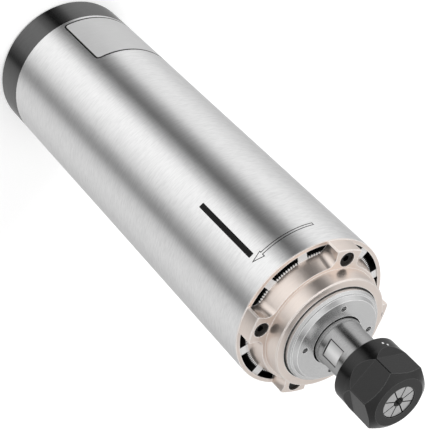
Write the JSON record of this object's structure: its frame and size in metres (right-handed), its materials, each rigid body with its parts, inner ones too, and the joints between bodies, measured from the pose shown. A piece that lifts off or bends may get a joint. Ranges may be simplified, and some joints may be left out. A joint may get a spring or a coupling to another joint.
{
  "type": "motor spindle",
  "caption": "Round air-cooled router spindle: brushed tube, black rear cap, lobed front flange with vents, and a hex collet nut.",
  "frame": {"origin": "centre of the rear face, on the plane of the rear rim that the spindle stands on", "axes": "+Z along the shaft, from the rear rim to the collet; +X and +Y point at the middles of two vent windows"},
  "size_m": [0.08, 0.08, 0.3069],
  "materials": {
    "cap_black": "satin black coat",
    "shell_steel": "fine circumferential brushing",
    "core_aluminium": "plain machined",
    "flange_champagne": "warm champagne anodising with bright edges",
    "screw_black": "black oxide",
    "disc_steel": "turned, bright chamfer",
    "seal_rubber": "matte",
    "shaft_steel": "ground",
    "nut_black": "black oxide, satin",
    "collet_steel": "ground",
    "bearing_steel": "ground bearing steel",
    "cage_resin": "brown phenolic",
    "lamination": "stacked sheet",
    "copper_wire": "enamelled copper wire",
    "rotor_aluminium": "cast",
    "fan_plastic": "moulded",
    "socket_metal": "nickel plated",
    "socket_plastic": "moulded",
    "contact_brass": "plated",
    "spring_steel": "hardened",
    "wire_insulation": "silicone insulated wire"
  },
  "bodies": {
    "housing": {"rear_cap": "cap_black", "power_socket_shell": "socket_metal", "power_socket_insert": "socket_plastic", "power_socket_contacts": "contact_brass", "power_socket_nut": "socket_metal", "rear_cap_screws": "screw_black", "housing_shell": "shell_steel", "rear_bearing_housing": "core_aluminium", "rear_outer_races": "bearing_steel", "preload_spring": "spring_steel", "cooling_core": "core_aluminium", "stator_core": "lamination", "stator_windings": "copper_wire", "motor_leads": "wire_insulation", "front_flange": "flange_champagne", "flange_screws": "screw_black", "front_outer_races": "bearing_steel", "outer_spacer": "bearing_steel", "bearing_cap": "disc_steel", "cap_seal": "seal_rubber"},
    "rotor": {"spindle_shaft": "shaft_steel", "dust_slinger": "shaft_steel", "shaft_lock_nut": "shaft_steel", "rotor_core": "lamination", "rotor_end_rings": "rotor_aluminium", "cooling_fan": "fan_plastic", "fan_screw": "screw_black", "rear_inner_races": "bearing_steel", "front_inner_races": "bearing_steel", "inner_spacer": "bearing_steel"},
    "front_cage": {"front_ball_cage": "cage_resin"},
    "rear_cage": {"rear_ball_cage": "cage_resin"},
    "collet_set": {"collet": "collet_steel"},
    "nut": {"collet_nut": "nut_black"}
  },
  "joints": [
    {"name": "rotor_spin", "type": "hinge", "parent": "housing", "child": "rotor", "pos_m": [0, 0, 0.2], "axis": [0, 0, 1], "continuous": true},
    {"name": "front_cage_spin", "type": "hinge", "parent": "housing", "child": "front_cage", "pos_m": [0, 0, 0.2344], "axis": [0, 0, 1], "continuous": true},
    {"name": "rear_cage_spin", "type": "hinge", "parent": "housing", "child": "rear_cage", "pos_m": [0, 0, 0.0601], "axis": [0, 0, 1], "continuous": true},
    {"name": "collet_slide", "type": "slide", "parent": "rotor", "child": "collet_set", "axis": [0, 0, 1], "range_m": [0, 0.015]},
    {"name": "nut_turn", "type": "hinge", "parent": "collet_set", "child": "nut", "pos_m": [0, 0, 0.29], "axis": [0, 0, 1], "range_deg": [0, 3600]}
  ],
  "couplings": [
    {"joint": "front_cage_spin", "follows": "rotor_spin", "ratio": 0.4195},
    {"joint": "rear_cage_spin", "follows": "rotor_spin", "ratio": 0.4055},
    {"joint": "nut_turn", "follows": "collet_slide", "rad_per_m": 4188.8}
  ]
}
